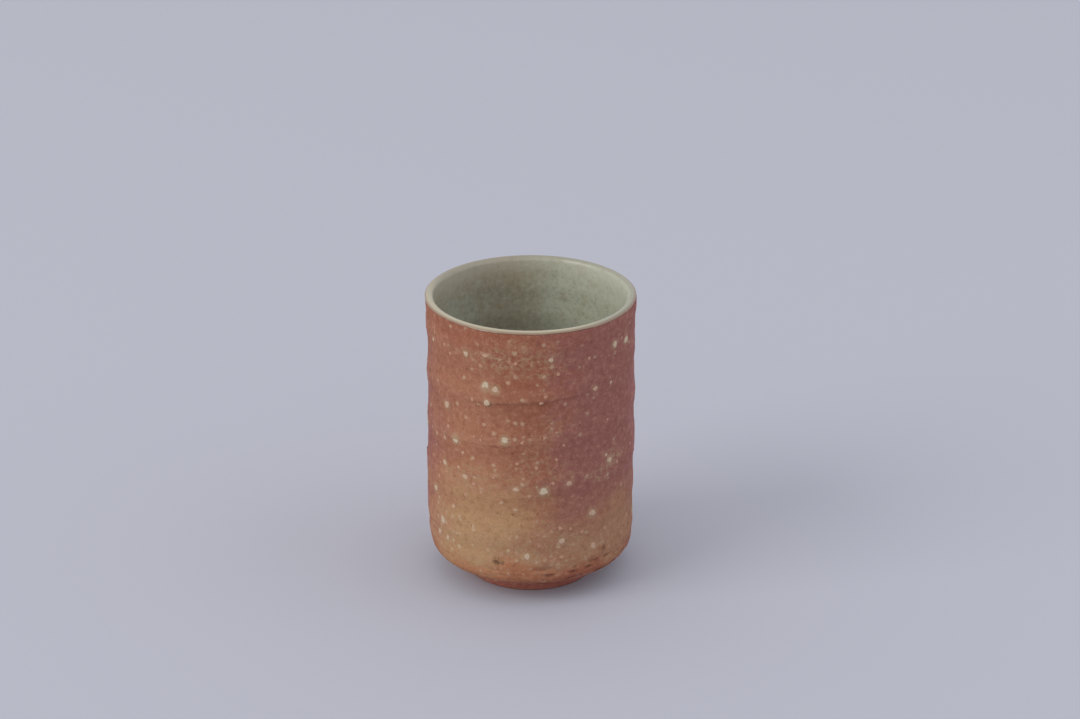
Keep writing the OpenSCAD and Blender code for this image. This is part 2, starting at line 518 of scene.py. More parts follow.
@dataclass(frozen=True)
class Flashing:
    """The kiln's colours over the whole pot: from orange on the left to plum on the right, with patches, and
    painted shade along the left outline.
    """

    warp_size: float = 12 * MM
    warp_turn: float = 14.0
    warp_lift: float = 6 * MM
    fine_size: float = 4 * MM
    fine_turn: float = 7.0
    fine_lift: float = 2.5 * MM
    grit_size: float = 1.5 * MM
    grit_turn: float = 6.0
    grit_lift: float = 2.5 * MM
    flatness: float = 1.8
    to_brown: Point = (-0.6, -0.05)
    to_plum: Point = (-0.02, 0.42)

    def moved(self, place: Vector) -> Point:
        """Return the bearing and height of a place, pushed about so that patches end unevenly.

        Args:
            place: A place on the pot.

        Returns:
            The bearing and the height.
        """
        flat = Vector((place.x, place.y, self.flatness * place.z))
        warp = noise.noise_vector(flat / self.warp_size)
        fine = noise.noise_vector(flat / self.fine_size)
        grit = noise.noise_vector(place / self.grit_size)
        turn = self.warp_turn * warp.x + self.fine_turn * fine.x + self.grit_turn * grit.x
        lift = self.warp_lift * warp.y + self.fine_lift * fine.y + self.grit_lift * grit.y
        return bearing_of(place) + turn, place.z + lift

    def shown(self, place: Vector) -> tuple[Colour, float]:
        """Return the clay's colour at a place, and how thick the fine pale grain lies there.

        Args:
            place: A place on the pot.

        Returns:
            The colour, and a share from 0 to 1.
        """
        bearing, height = self.moved(place)
        side = math.sin(math.radians(bearing))
        ground = blended(Flash.ORANGE.value, Flash.BROWN.value, smoothstep(side, *self.to_brown))
        ground = blended(ground, Flash.PLUM.value, smoothstep(side, *self.to_plum))
        for flash, patch in FLASH_AND_SHADE_PATCHES:
            ground = blended(ground, flash.value, patch.share(bearing, height))
        return ground, max(patch.share(bearing, height) for patch in GRAIN_PATCHES)


@dataclass(frozen=True)
class ClayFinish:
    """Bare stoneware: the kiln's colours under pale grain, pits and drag lines, with painted light and shade
    on the finger marks and painted shade in the pits and tears.
    """

    # Colours
    skin_and_painted_light: Colour = srgb(192, 146, 120)
    pale: Colour = srgb(206, 182, 152)
    pink: Colour = srgb(194, 142, 118)
    shade: Colour = srgb(108, 62, 48)
    khaki: Colour = srgb(174, 150, 118)
    stain: Colour = srgb(104, 72, 46)
    tear_shade: Colour = srgb(92, 48, 36)
    # Sizes of the patterns
    warp_size: float = 1.1 * MM
    warp: float = 1.0 * MM
    mottle_size: float = 2.0 * MM
    fine_size: float = 0.45 * MM
    drag_across: float = 9 * MM
    drag_up: float = 0.6 * MM
    bloom_size: float = 1.5 * MM
    speck_size: float = 2.3 * MM
    dust_size: float = 0.9 * MM
    pit_size: float = 2.7 * MM
    lump_size: float = 1.3 * MM
    # Surface
    rough: float = 0.93
    gloss: float = 0.3
    depth: float = 0.22 * MM

    def material(self, name: str, darker: float) -> bpy.types.Material:
        """Make the material.

        Args:
            name: The material's name.
            darker: How much darker than the wall it is, as a share, which on the foot is painted shade under
                the cup.

        Returns:
            The material.
        """
        g = Graph(name)
        bent = g.warped(self.warp_size, self.warp)
        mottle = g.cloud(self.mottle_size, 3.0, 0.6)
        fine = g.cloud(self.fine_size, 2.0)
        drag = g.cloud(1.0, 3.0, 0.6, g.stretched(self.drag_across, self.drag_up))
        bloom = g.cloud(self.bloom_size, 3.0, 0.65, bent)
        thick = g.attribute("grain")
        left = g.step(g.x, 18 * MM, -8 * MM)
        # The kiln's colour, mottled and dragged
        base = g.attribute("flash", "Color")
        base = g.mix(g.step(mottle, 0.48, 0.8) * 0.45, base, self.skin_and_painted_light)
        base = g.mix(g.step(mottle, 0.5, 0.22) * (0.42 - 0.22 * thick), base, self.shade)
        base = g.mix(g.step(drag, 0.56, 0.74) * 0.18, base, self.shade)
        # Finger marks: painted light on their crests and painted shade in their hollows, strongest on the lit
        # left side
        relief = g.attribute("relief") * (0.35 + 0.65 * left)
        base = g.mix(g.step(relief, 0.0, 1.0) * 0.13, base, self.skin_and_painted_light)
        base = g.mix(g.step(relief, 0.0, -1.0) * 0.3, base, self.shade)
        # Pale grain, thickest in its patches and round the large stones
        base = g.mix(g.attribute("halo") * 0.6, base, self.khaki)
        base = g.mix(g.step(bloom, 0.42, 0.62) * thick * 0.56, base, self.khaki)
        far, chance = g.cells(self.speck_size, place=bent)
        speck = g.step(far, 0.46, 0.08) * (0.06 + 0.08 * left + 0.5 * thick > chance)
        speck_tone = g.mix(g.step(chance, 0.04, 0.5), self.pale, self.pink)
        base = g.mix(speck * (0.36 + 0.2 * left), base, speck_tone)
        dust_far, dust_chance = g.cells(self.dust_size, place=bent)
        dust = g.step(dust_far, 0.46, 0.10) * (0.14 + 0.28 * thick > dust_chance)
        base = g.mix(dust * 0.42, base, self.pink)
        # Pits and tears darkened with painted shade, iron stains and the finest grain
        pit_far, pit_chance = g.cells(self.pit_size, place=bent)
        pit = g.step(pit_far, 0.22, 0.08) * (0.10 > pit_chance)
        base = g.mix(pit * 0.3, base, self.shade)
        base = g.mix(g.attribute("tear") * 0.66, base, self.tear_shade)
        base = g.mix(g.attribute("iron") * g.step(bloom, 0.34, 0.56) * 0.85, base, self.stain)
        base = g.mix(g.step(fine, 0.35, 0.75) * 0.2 + darker, base, self.shade)
        base = g.mix(g.step(fine, 0.5, 0.2) * 0.22, base, self.skin_and_painted_light)
        g.feed("Base Color", base)
        g.feed("Roughness", self.rough - 0.2 * speck - 0.1 * g.step(mottle, 0.4, 0.7))
        g.feed("Specular IOR Level", self.gloss)
        lump, _ = g.cells(self.lump_size, True)
        height = 0.35 * fine + 0.5 * mottle + 0.45 * drag - 0.5 * lump + 0.4 * speck + 0.2 * dust - 0.8 * pit
        g.bump(height, self.depth)
        return g.material


@dataclass(frozen=True)
class GlazeFinish:
    """Thin grey-green glaze with fine dark specks, cream to tan where it thins over the lip, with a painted
    highlight inside below the lip and on the lip's front left, and painted shade widening the tan edge on the
    shaded side.
    """

    # Colours
    green: Colour = srgb(182, 186, 168)
    grey: Colour = srgb(165, 161, 146)
    warm: Colour = srgb(158, 143, 118)
    cream: Colour = srgb(198, 186, 157)
    tan: Colour = srgb(142, 116, 98)
    rose: Colour = srgb(156, 138, 120)
    ash: Colour = srgb(132, 128, 112)
    pale: Colour = srgb(190, 193, 176)
    iron: Colour = srgb(96, 92, 72)
    painted_highlight: Colour = srgb(214, 213, 199)
    # Sizes of the patterns
    warp_size: float = 0.9 * MM
    warp: float = 0.7 * MM
    broad_size: float = 18 * MM
    patch_size: float = 5 * MM
    fine_size: float = 0.7 * MM
    mottle_size: float = 1.6 * MM
    speck_size: float = 1.5 * MM
    dust_size: float = 0.6 * MM
    # Surface
    rough: float = 0.15
    depth: float = 0.07 * MM

    def material(self, name: str) -> bpy.types.Material:
        """Make the material.

        Args:
            name: The material's name.

        Returns:
            The material.
        """
        g = Graph(name)
        bent = g.warped(self.warp_size, self.warp)
        broad = g.cloud(self.broad_size, 3.0)
        patch = g.cloud(self.patch_size, 4.0, 0.6)
        fine = g.cloud(self.fine_size, 3.0, 0.6)
        mottle = g.cloud(self.mottle_size, 3.0, 0.65, bent)
        # Grey on the left, warm in the middle and green on the right
        side = g.x + (broad - 0.5) * (30 * MM) + (patch - 0.5) * (14 * MM)
        base = g.mix(g.step(side, -6 * MM, 14 * MM), self.grey, self.green)
        middle = g.step(side, 10 * MM, 0.0) * g.step(side, -16 * MM, -6 * MM)
        base = g.mix(g.step(patch, 0.46, 0.7) * 0.36 + middle * 0.3, base, self.warm)
        base = g.mix(g.step(g.y, 4 * MM, 30 * MM) * 0.1, base, self.iron)
        base = g.mix(g.step(g.x, -16 * MM, -30 * MM) * 0.22, base, self.pale)
        base = g.mix(g.step(mottle, 0.48, 0.7) * 0.24, base, self.iron)
        base = g.mix(g.step(mottle, 0.5, 0.3) * 0.3, base, self.pale)
        # Rose band below the lip, and a painted highlight band below it that is brighter on the right
        high = g.step(g.z + (patch - 0.5) * (8 * MM), 86 * MM, 96 * MM)
        base = g.mix(high * g.step(side, 10 * MM, -8 * MM) * 0.6, base, self.rose)
        crest = g.attribute("crest")
        right = g.step(g.z, 82 * MM, 94 * MM) * g.step(g.x, 6 * MM, 20 * MM)
        highlight_band = 0.3 * g.step(g.z, 91 * MM, 96 * MM) + 0.2 * right
        base = g.mix(highlight_band * (1 - crest), base, self.painted_highlight)
        # Dark specks and dust, and a cream haze
        far, chance = g.cells(self.speck_size, place=bent)
        speck = g.step(far, 0.42, 0.12) * (0.26 + 0.3 * (broad - 0.5) > chance)
        base = g.mix(speck * 0.15, base, self.iron)
        dust, _ = g.cells(self.dust_size, place=bent)
        base = g.mix(g.step(dust, 0.36, 0.12) * 0.14, base, self.iron)
        base = g.mix(g.step(fine, 0.45, 0.8) * 0.12, base, self.cream)
        # The lip: cream glaze, brighter on its front left as a painted highlight, and tan along its edge,
        # widened on the shaded side as painted shade
        base = g.mix(crest * 0.72, base, self.ash)
        cream_and_highlight = 0.06 + 0.54 * g.step(-0.55 * g.x - 0.83 * g.y, 0.0, 26 * MM)
        base = g.mix(crest * cream_and_highlight, base, self.cream)
        base = g.mix(g.attribute("edge"), base, self.tan)
        g.feed("Base Color", base)
        g.feed("Roughness", self.rough + 0.10 * fine + 0.06 * patch)
        g.bump(0.5 * fine + 0.5 * patch - 0.4 * speck, self.depth)
        return g.material


@dataclass(frozen=True)
class StoneFinish:
    """Half-melted stone with a tone of its own between two colours, and clay smeared over its rim."""

    first: Colour
    second: Colour
    chalk: Colour
    rough: float
    bare: float
    smear: float = 0.6
    mottle_size: float = 0.8 * MM
    fine_size: float = 0.3 * MM
    depth: float = 0.12 * MM

    def material(self, name: str) -> bpy.types.Material:
        """Make the material.

        Args:
            name: The material's name.

        Returns:
            The material.
        """
        g = Graph(name)
        mottle = g.cloud(self.mottle_size, 3.0, 0.6)
        fine = g.cloud(self.fine_size, 2.0)
        tone = g.attribute("tone")
        base = g.mix(tone, self.first, self.second)
        base = g.mix(g.step(mottle, 0.42, 0.66) * (0.5 - 0.4 * tone), base, self.chalk)
        smear = g.step(g.attribute("rim") + (mottle - 0.5) * 1.5, self.bare, self.bare + self.smear)
        base = g.mix(smear * 0.9, base, g.attribute("flash", "Color"))
        g.feed("Base Color", base)
        g.feed("Roughness", self.rough + 0.25 * (mottle - 0.5))
        g.bump(0.6 * mottle + 0.4 * fine, self.depth)
        return g.material


@dataclass(frozen=True)
class TableFinish:
    """Plain pale paper that the cup stands on."""

    paper: Colour = srgb(184, 185, 197)
    rough: float = 0.9
    gloss: float = 0.2

    def material(self, name: str) -> bpy.types.Material:
        """Make the material.

        Args:
            name: The material's name.

        Returns:
            The material.
        """
        g = Graph(name)
        g.feed("Base Color", self.paper)
        g.feed("Roughness", self.rough)
        g.feed("Specular IOR Level", self.gloss)
        return g.material


def arc(centre: Point, radius: float, start: float, end: float, count: int) -> list[Point]:
    """Return points on a circular arc of a section.

    Args:
        centre: The arc's centre, as radius and height.
        radius: The arc's radius.
        start: Angle of the first point from the outward direction, in degrees.
        end: Angle of the last point.
        count: The number of points.

    Returns:
        The points in order.
    """
    turns = [math.radians(start + (end - start) * i / (count - 1)) for i in range(count)]
    return [(centre[0] + radius * math.cos(a), centre[1] + radius * math.sin(a)) for a in turns]


def refined(points: Sequence[Point], pitch: float) -> list[Point]:
    """Add points along the straight runs of a section.

    Args:
        points: The section's corners.
        pitch: The widest spacing that stays.

    Returns:
        The corners with points between them.
    """
    out = [points[0]]
    for (r0, z0), (r1, z1) in zip(points, points[1:]):
        count = max(1, math.ceil(math.hypot(r1 - r0, z1 - z0) / pitch))
        out += [(r0 + (r1 - r0) * i / count, z0 + (z1 - z0) * i / count) for i in range(1, count + 1)]
    return out


def revolved(points: Sequence[Point], steps: int, closed: bool) -> bmesh.types.BMesh:
    """Spin a half section about the cup's axis.

    Args:
        points: The section, as radius and height.
        steps: The number of steps round.
        closed: Whether the section's last point joins its first.

    Returns:
        The turned shape.
    """
    bm = bmesh.new()
    verts = [bm.verts.new((radius, 0.0, height)) for radius, height in points]
    edges = [bm.edges.new(pair) for pair in zip(verts, verts[1:])]
    if closed:
        edges.append(bm.edges.new((verts[-1], verts[0])))
    bmesh.ops.spin(
        bm, geom=verts + edges, cent=(0, 0, 0), axis=(0, 0, 1), dvec=(0, 0, 0),
        angle=2 * math.pi, steps=steps, use_merge=True, use_duplicate=False,
    )
    bmesh.ops.remove_doubles(bm, verts=bm.verts[:], dist=SEAM_MERGE)
    bmesh.ops.recalc_face_normals(bm, faces=bm.faces[:])
    return bm


@dataclass(frozen=True)
class Ledge:
    """A crisp lower edge of a finger mark: the wall stands out above it and drops back below."""

    bearing: float
    height: float
    reach: float
    drop: float
    rise: float = 0.045 * MM
    full: float = 0.35
    lip_edge: Point = (-0.25 * MM, 0.35 * MM)
    lip_fade: float = 3.2 * MM
    under_edge: Point = (0.3 * MM, -0.1 * MM)
    under_fade: float = 1.4 * MM
    undercut: float = 0.6

    def offset(self, bearing: float, height: float) -> float:
        """Return how far the wall stands out because of this ledge.

        Args:
            bearing: Where on the wall.
            height: The height there.

        Returns:
            A length.
        """
        turn = turn_between(bearing, self.bearing)
        span = smoothstep(abs(turn), self.reach, self.reach * self.full)
        if span <= 0:
            return 0.0
        above = height - (self.height + turn * self.rise)
        lip = smoothstep(above, *self.lip_edge) * math.exp(-max(0.0, above) / self.lip_fade)
        under = smoothstep(above, *self.under_edge) * math.exp(min(0.0, above) / self.under_fade)
        return self.drop * span * (lip - self.undercut * under)


LEDGES = (
    Ledge(-5, 73.2 * MM, 46, 0.35 * MM),
    Ledge(-30, 57.2 * MM, 40, 0.15 * MM),
    Ledge(-30, 46.0 * MM, 24, 0.14 * MM),
    Ledge(40, 48.6 * MM, 24, 0.10 * MM),
    Ledge(6, 40.4 * MM, 22, 0.08 * MM),
    Ledge(6, 30.8 * MM, 9, 0.10 * MM),
    Ledge(118, 62.0 * MM, 46, 0.18 * MM),
    Ledge(176, 81.5 * MM, 40, 0.16 * MM),
    Ledge(205, 35.0 * MM, 50, 0.16 * MM),
    Ledge(262, 67.5 * MM, 36, 0.15 * MM),
)


@dataclass(frozen=True)
class ThrownWall:
    """The outside of the thrown clay: a near-straight wall with a finger mark that climbs to the right."""

    radius: float = 34.1 * MM
    most: float = 34.52 * MM
    stone_most: float = 34.585 * MM
    bottom: float = 13.0 * MM
    top: float = 96.0 * MM
    # The spiral finger mark with its share of painted light and shade, and the ledge height that shows in
    # full painted light and shade
    pitch: float = 16.2 * MM
    ridge_height: float = 28.0 * MM
    ridge_start: float = 7.0 * MM
    ridge: float = 0.17 * MM
    ridge_painted_shading: float = 0.4
    second_wave: float = 0.25
    second_phase: float = 0.6
    full_ledge: float = 0.25 * MM
    # Unevenness, as the size and height of each noise, and the outline's bulge and lean at some heights
    top_fade: float = 5.0 * MM
    wobble: tuple[Point, ...] = ((17 * MM, 0.12 * MM), (6 * MM, 0.05 * MM))
    profile: tuple[Point, ...] = (
        (11 * MM, -0.4 * MM), (17 * MM, 0.1 * MM), (25 * MM, 0.3 * MM), (44 * MM, 0.22 * MM),
        (62 * MM, 0.0), (80 * MM, -0.2 * MM), (90 * MM, 0.0), (96 * MM, 0.28 * MM),
    )
    sway: tuple[Point, ...] = (
        (10 * MM, 0.25 * MM), (14 * MM, -0.05 * MM), (20 * MM, -0.05 * MM), (30 * MM, -0.26 * MM),
        (39 * MM, -0.2 * MM), (44 * MM, 0.14 * MM), (96 * MM, 0.15 * MM),
    )

    def spiral(self, bearing: float, height: float) -> float:
        """Return how far the spiral stands in or out of the wall.

        Args:
            bearing: Where on the wall.
            height: The height there.

        Returns:
            A length.
        """
        turn = 2 * math.pi * ((height - self.ridge_height) / self.pitch - bearing / 360)
        wave = math.cos(turn) + self.second_wave * math.cos(2 * turn + self.second_phase)
        return self.ridge * wave * smoothstep(height - self.bottom, 0.0, self.ridge_start)

    def ledges(self, bearing: float, height: float) -> float:
        """Return how far all the ledges together move the wall at a bearing and height."""
        return sum(ledge.offset(bearing, height) for ledge in LEDGES)

    def offset(self, place: Vector) -> float:
        """Return how far the wall stands from its plain radius, without its grain.

        Args:
            place: A place on the plain wall.

        Returns:
            A length.
        """
        bearing = bearing_of(place)
        height = place.z
        fade = smoothstep(self.top - height, 0.0, self.top_fade)
        lean = eased(self.sway, height) * math.sin(math.radians(bearing))
        marks = self.spiral(bearing, height) + layered(place, self.wobble) + self.ledges(bearing, height)
        return eased(self.profile, height) + lean + marks * fade

    def relief(self, place: Vector) -> float:
        """Return where a place lies between a hollow and a crest of the finger marks, which the clay's
        material shows as painted light and shade.

        Args:
            place: A place on the plain wall.

        Returns:
            A share from -1 in a hollow to 1 on a crest.
        """
        bearing = bearing_of(place)
        spiral = self.ridge_painted_shading * self.spiral(bearing, place.z) / self.ridge
        return max(-1.0, min(1.0, spiral + self.ledges(bearing, place.z) / self.full_ledge))

    def point(self, bearing: float, height: float) -> Vector:
        """Return the place on the finished wall at a bearing and height.

        Args:
            bearing: Where on the wall.
            height: The height there.

        Returns:
            The place.
        """
        flat = outward(bearing)
        plain = flat * self.radius + UP * height
        return plain + flat * min(self.offset(plain), self.most - self.radius)


@dataclass(frozen=True)
class Inclusion:
    """One stone or speck in the wall."""

    bearing: float
    height: float
    width: float


def inclusions(node: str) -> list[Inclusion]:
    """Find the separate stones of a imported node.

    Args:
        node: The node's name.

    Returns:
        The stones, from the lowest up.
    """
    bm = bmesh.new()
    bm.from_mesh(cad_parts[node].data)
    bmesh.ops.remove_doubles(bm, verts=bm.verts[:], dist=STONE_MERGE)
    seen: set[bmesh.types.BMVert] = set()
    found: list[Inclusion] = []
    for start in bm.verts:
        if start in seen:
            continue
        group, edge = [], [start]
        seen.add(start)
        while edge:
            vert = edge.pop()
            group.append(vert.co.copy())
            for link in vert.link_edges:
                other = link.other_vert(vert)
                if other not in seen:
                    seen.add(other)
                    edge.append(other)
        middle = sum(group, Vector()) / len(group)
        width = 2 * max((co - middle).length for co in group)
        found.append(Inclusion(bearing_of(middle), middle.z, width))
    bm.free()
    return sorted(found, key=lambda stone: (round(stone.height, 5), round(stone.bearing, 3)))


def linked(name: str, data: bpy.types.ID) -> bpy.types.Object:
    """Put a new object into the scene.

    Args:
        name: The object's name.
        data: Its mesh, camera or light.

    Returns:
        The object.
    """
    made = bpy.data.objects.new(name, data)
    bpy.context.scene.collection.objects.link(made)
    return made


def formed(name: str, bm: bmesh.types.BMesh, material: bpy.types.Material) -> bpy.types.Object:
    """Turn a bmesh into an object.

    Args:
        name: The object's name.
        bm: The finished shape, which is freed.
        material: Its material.

    Returns:
        The object.
    """
    mesh = bpy.data.meshes.new(name)
    bm.to_mesh(mesh)
    bm.free()
    mesh.materials.append(material)
    return linked(name, mesh)


def aim(made: bpy.types.Object, place: Vector, way: Vector) -> None:
    """Stand a camera or a lamp at a place.

    Args:
        made: The camera or the lamp.
        place: Where it stands.
        way: The direction that it looks in.
    """
    made.location = place
    made.rotation_mode = "QUATERNION"
    made.rotation_quaternion = way.to_track_quat("-Z", "Y")


class Piece:
    """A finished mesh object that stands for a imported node."""

    def __init__(self, name: str, node: str, slot: Slot) -> None:
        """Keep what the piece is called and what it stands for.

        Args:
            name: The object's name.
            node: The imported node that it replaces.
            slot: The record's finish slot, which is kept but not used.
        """
        self.name = name
        self.node = node
        self.slot = slot

    def place(
        self, bm: bmesh.types.BMesh, material: bpy.types.Material, crease: float = 40.0
    ) -> bpy.types.Object:
        """Turn a bmesh into the piece's object and tie it to the frame.

        Args:
            bm: The finished shape, which is freed.
            material: Its material.
            crease: The angle in degrees past which an edge is sharp.

        Returns:
            The object.
        """
        limit = math.radians(crease)
        for edge in bm.edges:
            edge.smooth = edge.calc_face_angle(0.0) < limit
        for face in bm.faces:
            face.smooth = True
        made = formed(self.name, bm, material)
        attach(made, BODY)
        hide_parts(self.node)
        return made


@dataclass(frozen=True)
class Tears:
    """Short dashes that the turning tool tore along the lower corner, most of them on the right."""

    depth: float = 0.4 * MM
    across: float = 5 * MM
    up: float = 1.1 * MM
    top: Point = (16 * MM, 13 * MM)
    foot: Point = (5 * MM, 8 * MM)
    bearing: float = 38.0
    reach: Point = (50.0, 20.0)
    least: float = 0.2
    edge: Point = (0.14, 0.34)

    def share(self, place: Vector) -> float:
        """Return how deep the clay is torn at a place.

        Args:
            place: A place on the pot's plain shape.

        Returns:
            A share of the full depth.
        """
        near = smoothstep(place.z, *self.top) * smoothstep(place.z, *self.foot)
        if near <= 0:
            return 0.0
        tear = noise.noise(drawn_out(place, self.across, self.up))
        turn = abs(turn_between(bearing_of(place), self.bearing))
        most = self.least + (1 - self.least) * smoothstep(turn, *self.reach)
        return near * most * smoothstep(tear, *self.edge)


@dataclass
class ClayPot:
    """The thrown clay: wall, lip, floor and turned underside."""

    wall: ThrownWall
    flashing: Flashing
    tears: Tears = Tears()
    # Section
    lip_z: float = 96.55 * MM
    lip_r: float = 33.3 * MM
    lip_round: float = 1.1 * MM
    shoulder: float = 0.3 * MM
    hollow_r: float = 21.2 * MM
    hollow_z: float = 19.0 * MM
    hollow_round: float = 9.0 * MM
    dish_z: float = 9.5 * MM
    foot_r: float = 22.4 * MM
    foot_hole_r: float = 18.4 * MM
    foot_h: float = 3.1 * MM
    foot_hollow: float = 5.0 * MM
    foot_slope: float = 1.9 * MM
    bevel_h: float = 9.2 * MM
    corner_round: float = 5.6 * MM
    # Points along the section, and steps round it
    corner_steps: int = 18
    lip_steps: int = 9
    floor_steps: int = 7
    under_row: float = 1.5 * MM
    bevel_row: float = 0.7 * MM
    wall_row: float = 0.5 * MM
    inside_row: float = 8 * MM
    steps: int = 392
    # How far from the inside and the underside the outside starts
    slack: float = 0.01 * MM
    hole_clear: float = 0.1 * MM
    inside_clear: float = 0.8 * MM
    # Grain and drag lines, which lean down on the turned bevel
    grains: tuple[Point, ...] = ((1.7 * MM, 0.05 * MM), (0.9 * MM, 0.03 * MM))
    grain_fade: Point = (0.4 * MM, -4 * MM)
    drag_across: float = 12 * MM
    drag_up: float = 0.9 * MM
    drag_depth: float = 0.045 * MM
    turned: Point = (14 * MM, 5 * MM)
    turned_down: float = 0.5
    # Clay around specks and stones
    stain_reach: Point = (1.1, 0.5)
    stone_edge: float = 0.45
    large_stone: Point = (1.2 * MM, 2.4 * MM)
    halo_reach: Point = (1.7 * MM, 0.1 * MM)
    swell: float = 0.08 * MM
    swell_reach: float = 1.4 * MM

    def hollow_wall(self, height: float) -> float:
        """Return the radius of the clay's inside at a height above the rounding at the floor."""
        share = (height - self.hollow_z) / (self.lip_z - self.hollow_z)
        low = self.hollow_r + self.hollow_round
        return low + (self.lip_r - self.lip_round - low) * share

    def outline(self) -> list[Point]:
        """Return the half section, from the axis under the base to the axis on the floor.

        Returns:
            Points as radius and height.
        """
        slope = math.atan2(self.bevel_h - self.foot_h, self.wall.radius - self.foot_r)
        corner = (
            self.wall.radius - self.corner_round,
            self.bevel_h + self.corner_round * (1 / math.cos(slope) - math.tan(slope)),
        )
        under = [(0.0, self.foot_hollow), (self.foot_hole_r - self.foot_slope, self.foot_hollow),
                 (self.foot_hole_r, self.foot_h), (self.foot_r, self.foot_h)]
        turn = arc(corner, self.corner_round, math.degrees(slope) - 90, 0, self.corner_steps)
        side = [turn[-1], (self.wall.radius, self.lip_z)]
        lip = arc((self.lip_r, self.lip_z), self.lip_round, 0, 180, self.lip_steps)
        inside = [(self.hollow_r + self.hollow_round, self.hollow_z)]
        inside += arc((self.hollow_r, self.hollow_z), self.hollow_round, 0, -90, self.floor_steps)[1:]
        inside += [(0.0, self.dish_z)]
        return (
            refined(under, self.under_row) + refined([under[-1], turn[0]], self.bevel_row)[1:] + turn[1:]
            + refined(side, self.wall_row)[1:] + lip[1:] + refined([lip[-1]] + inside, self.inside_row)[1:]
        )

    def is_outside(self, place: Vector) -> bool:
        """Say whether a place is on the wall, the corner or the bevel.

        Args:
            place: A place on the pot's plain shape.

        Returns:
            Whether the marks of throwing and turning show there.
        """
        reach = reach_of(place)
        if place.z > self.lip_z + self.slack or place.z < self.foot_h + self.slack:
            return False
        if place.z > self.hollow_z:
            return reach > self.hollow_wall(place.z) + self.inside_clear
        far = math.hypot(max(0.0, reach - self.hollow_r), place.z - self.hollow_z)
        return reach > self.foot_hole_r + self.hole_clear and far > self.hollow_round + self.inside_clear

    def grain_height(self, place: Vector) -> float:
        """Return the height of the coarse grain in the clay's surface.

        Args:
            place: A place on the surface.

        Returns:
            A length.
        """
        drag = self.drag_depth * noise.noise(drawn_out(place, self.drag_across, self.drag_up))
        return layered(place, self.grains) + drag

    def marked(self, place: Vector, swell: float) -> Vector:
        """Return where a place on the plain outside goes with its marks.

        Args:
            place: A place on the pot's plain shape.
            swell: How far a stone pushes the clay out there.

        Returns:
            The place on the finished outside.
        """
        under = smoothstep(place.z, *self.turned)
        fade = smoothstep(place.z - self.wall.top, *self.grain_fade)
        rough = self.grain_height(place) * fade - self.tears.depth * self.tears.share(place)
        out = self.wall.offset(place) * (1 - under) + rough + swell * fade
        out = min(out, self.wall.most - reach_of(place))
        down = self.turned_down * under
        return place + away_from_axis(place) * out * (1 - down) - UP * (down * rough)

    def tree_of(self, found: Sequence[Inclusion]) -> kdtree.KDTree:
        """Return a tree that finds the nearest stone or speck to a place on the plain wall.

        Args:
            found: The stones or specks.

        Returns:
            The tree.
        """
        tree = kdtree.KDTree(len(found))
        for i, one in enumerate(found):
            tree.insert(outward(one.bearing) * self.wall.radius + UP * one.height, i)
        tree.balance()
        return tree

    def build(
        self, finish: ClayFinish, stones: Sequence[Inclusion], specks: Sequence[Inclusion]
    ) -> bpy.types.Object:
        """Make the piece.

        Args:
            finish: The clay's finish.
            stones: The stones that swell the clay around them.
            specks: The iron specks that stain the clay around them.

        Returns:
            The object.
        """
        bm = revolved(self.outline(), self.steps, False)
        halo = bm.verts.layers.float.new("halo")
        flash = bm.verts.layers.float_color.new("flash")
        grain = bm.verts.layers.float.new("grain")
        tear = bm.verts.layers.float.new("tear")
        relief = bm.verts.layers.float.new("relief")
        iron = bm.verts.layers.float.new("iron")
        stone_tree = self.tree_of(stones)
        speck_tree = self.tree_of(specks)
        for vert in bm.verts:
            plain = vert.co.copy()
            colour, vert[grain] = self.flashing.shown(plain)
            vert[flash] = (*colour, 1.0)
            if not self.is_outside(plain):
                continue
            _, i, far = speck_tree.find(plain)
            vert[iron] = smoothstep(far / specks[i].width, *self.stain_reach)
            _, i, far = stone_tree.find(plain)
            edge = far - stones[i].width * self.stone_edge
            large = smoothstep(stones[i].width, *self.large_stone)
            vert[halo] = large * smoothstep(edge, *self.halo_reach)
            vert[tear] = self.tears.share(plain)
            # The crest and hollow share, which the clay's material turns into painted light on the crests and
            # painted shade in the hollows.
            vert[relief] = self.wall.relief(plain)
            vert.co = self.marked(plain, self.swell * large * smoothstep(edge, self.swell_reach, 0.0))
        piece = Piece("clay_pot", "thrown_body", Slot.CLAY)
        return piece.place(bm, finish.material("bare_clay", 0.0))


